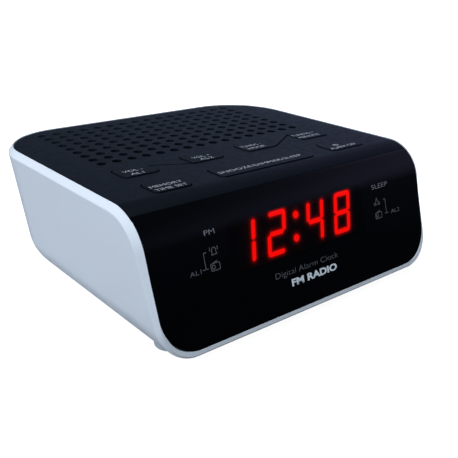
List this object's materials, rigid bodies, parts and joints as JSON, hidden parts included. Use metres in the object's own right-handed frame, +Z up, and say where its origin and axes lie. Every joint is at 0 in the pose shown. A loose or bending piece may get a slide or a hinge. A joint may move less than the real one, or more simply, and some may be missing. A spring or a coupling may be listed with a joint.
{
  "type": "clock radio",
  "caption": "Small desk clock radio: white case with a bevelled rim, matte black top with keys and a round-hole speaker grille, and a gloss black leaning front with red digits.",
  "frame": {"origin": "on the table, under the middle of the radio", "axes": "+Z up, +X to the right when facing the display, the display faces -Y"},
  "size_m": [0.1336, 0.1211, 0.0473],
  "materials": {
    "white_case": "satin, cool white",
    "matte_black": "fine matte texture, blue-black",
    "gloss_black": "polished smoked acrylic",
    "foot_rubber": "pale grey rubber",
    "plated_steel": "zinc plated",
    "circuit_board": "bare brown board",
    "black_moulding": "moulded black",
    "red_display": "lit red segments",
    "grille_cloth": "black non-woven cloth",
    "cone_paper": "pressed paper",
    "magnet_ferrite": "dark ferrite",
    "copper_wire": "varnished wire",
    "core_steel": "stacked laminations",
    "cell_wrap": "plain printed sleeve",
    "ribbon_grey": "grey ribbon cable"
  },
  "bodies": {
    "radio": {"lower_case": "white_case", "top_cover": "matte_black", "display_lens": "gloss_black", "display_module": "red_display", "display_board": "circuit_board", "key_board": "circuit_board", "key_board_screw_left": "plated_steel", "key_board_screw_right": "plated_steel", "main_board": "circuit_board", "main_board_screw_left": "plated_steel", "main_board_screw_right": "plated_steel", "clock_chip": "black_moulding", "tuner_chip": "black_moulding", "smoothing_capacitor": "black_moulding", "display_ribbon": "ribbon_grey", "key_ribbon": "ribbon_grey", "grille_cloth": "grille_cloth", "speaker_frame": "plated_steel", "speaker_magnet": "magnet_ferrite", "transformer_core": "core_steel", "transformer_winding": "copper_wire", "backup_cell_front": "cell_wrap", "backup_cell_back": "cell_wrap", "battery_contact_link": "plated_steel", "battery_contact_front": "plated_steel", "battery_contact_back": "plated_steel", "mains_cord_gland": "black_moulding", "aerial_grommet": "black_moulding", "foot_front_left": "foot_rubber", "foot_front_right": "foot_rubber", "foot_back_left": "foot_rubber", "foot_back_right": "foot_rubber", "case_screw_front_left": "plated_steel", "case_screw_front_right": "plated_steel", "case_screw_back_left": "plated_steel", "case_screw_back_right": "plated_steel", "switch_housing_time_set": "black_moulding", "switch_housing_snooze": "black_moulding", "switch_housing_power": "black_moulding", "switch_housing_volume_down": "black_moulding", "switch_housing_volume_up": "black_moulding", "switch_housing_tune_down": "black_moulding", "switch_housing_tune_up": "black_moulding"},
    "time_set_key": {"key_time_set": "matte_black", "switch_button_time_set": "black_moulding"},
    "snooze_key": {"key_snooze": "matte_black", "switch_button_snooze": "black_moulding"},
    "power_key": {"key_power": "matte_black", "switch_button_power": "black_moulding"},
    "volume_down_key": {"key_volume_down": "matte_black", "switch_button_volume_down": "black_moulding"},
    "volume_up_key": {"key_volume_up": "matte_black", "switch_button_volume_up": "black_moulding"},
    "tune_down_key": {"key_tune_down": "matte_black", "switch_button_tune_down": "black_moulding"},
    "tune_up_key": {"key_tune_up": "matte_black", "switch_button_tune_up": "black_moulding"},
    "loudspeaker_cone": {"speaker_cone": "cone_paper", "voice_coil": "copper_wire"},
    "battery_door": {"battery_door": "white_case"}
  },
  "joints": [
    {"name": "time_set_press", "type": "slide", "parent": "radio", "child": "time_set_key", "axis": [0, 0, 1], "range_m": [-0.0005, 0], "stiffness_N_per_m": 2000},
    {"name": "snooze_press", "type": "slide", "parent": "radio", "child": "snooze_key", "axis": [0, 0, 1], "range_m": [-0.0005, 0], "stiffness_N_per_m": 2000},
    {"name": "power_press", "type": "slide", "parent": "radio", "child": "power_key", "axis": [0, 0, 1], "range_m": [-0.0005, 0], "stiffness_N_per_m": 2000},
    {"name": "volume_down_press", "type": "slide", "parent": "radio", "child": "volume_down_key", "axis": [0, 0, 1], "range_m": [-0.0005, 0], "stiffness_N_per_m": 2000},
    {"name": "volume_up_press", "type": "slide", "parent": "radio", "child": "volume_up_key", "axis": [0, 0, 1], "range_m": [-0.0005, 0], "stiffness_N_per_m": 2000},
    {"name": "tune_down_press", "type": "slide", "parent": "radio", "child": "tune_down_key", "axis": [0, 0, 1], "range_m": [-0.0005, 0], "stiffness_N_per_m": 2000},
    {"name": "tune_up_press", "type": "slide", "parent": "radio", "child": "tune_up_key", "axis": [0, 0, 1], "range_m": [-0.0005, 0], "stiffness_N_per_m": 2000},
    {"name": "cone_travel", "type": "slide", "parent": "radio", "child": "loudspeaker_cone", "axis": [0, 0, 1], "range_m": [-0.0005, 0.0005], "stiffness_N_per_m": 1000},
    {"name": "battery_door_hinge", "type": "hinge", "parent": "radio", "child": "battery_door", "pos_m": [-0.0453, 0.0145, 0.0019], "axis": [0, 1, 0], "range_deg": [0, 70]}
  ]
}
